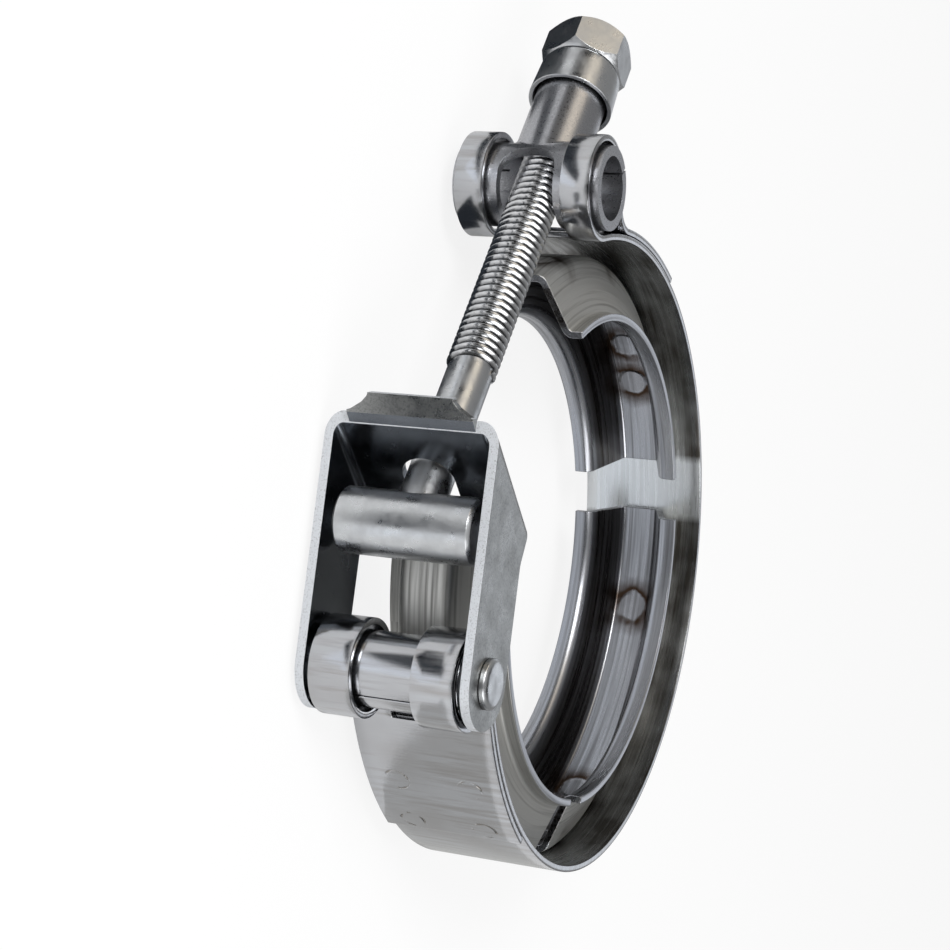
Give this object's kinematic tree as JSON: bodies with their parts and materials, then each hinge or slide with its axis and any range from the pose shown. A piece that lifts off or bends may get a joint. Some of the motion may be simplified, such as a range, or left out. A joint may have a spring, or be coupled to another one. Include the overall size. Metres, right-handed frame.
{
  "type": "v band clamp",
  "caption": "Quick release V band clamp: rolled V retainers in a sheet band, closed by a T bolt in a trunnion and a folded over-centre lever.",
  "frame": {"origin": "centre of the ring at the middle of its width", "axes": "+Z along the axis of the ring and of both hinges, with the clamp lying on its side; +Y towards the trunnion; +X towards the gap between the upper and lower retainers"},
  "size_m": [0.1155, 0.1381, 0.0296],
  "materials": {
    "polished_stainless": "polished rolled sheet",
    "rolled_stainless": "satin, streaked along the roll",
    "stamped_steel": "grainy stamped sheet with sheared edges",
    "plain_steel": "turned steel",
    "dark_chrome": "drawn and polished"
  },
  "bodies": {
    "band": {"band": "polished_stainless", "upper_retainer": "rolled_stainless", "lower_retainer": "rolled_stainless", "front_retainer": "rolled_stainless", "latch_bush": "polished_stainless"},
    "lever": {"lever": "stamped_steel", "latch_pin": "plain_steel"},
    "trunnion": {"trunnion": "dark_chrome"},
    "bolt": {"t_bolt": "plain_steel", "bolt_barrel": "plain_steel"},
    "nut": {"nut": "plain_steel", "cup_washer": "plain_steel"}
  },
  "joints": [
    {"name": "lever_swing", "type": "hinge", "parent": "band", "child": "lever", "pos_m": [-0.0572, -0.0013, 0], "axis": [0, 0, 1], "range_deg": [0, 95]},
    {"name": "trunnion_swing", "type": "hinge", "parent": "band", "child": "trunnion", "pos_m": [-0.00184, 0.0615, 0], "axis": [0, 0, 1], "range_deg": [-3.81, 0]},
    {"name": "bolt_slide", "type": "slide", "parent": "trunnion", "child": "bolt", "axis": [-0.7629, -0.6465, 0], "range_m": [0, 0.0115]},
    {"name": "nut_spin", "type": "hinge", "parent": "trunnion", "child": "nut", "pos_m": [-0.00184, 0.0615, 0], "axis": [0.7629, 0.6465, 0], "range_deg": [0, 3312.1]}
  ],
  "couplings": [
    {"joint": "trunnion_swing", "follows": "lever_swing", "ratio": -0.04},
    {"joint": "bolt_slide", "follows": "lever_swing", "m_per_rad": 0.0069358},
    {"joint": "nut_spin", "follows": "lever_swing", "ratio": 34.863}
  ]
}
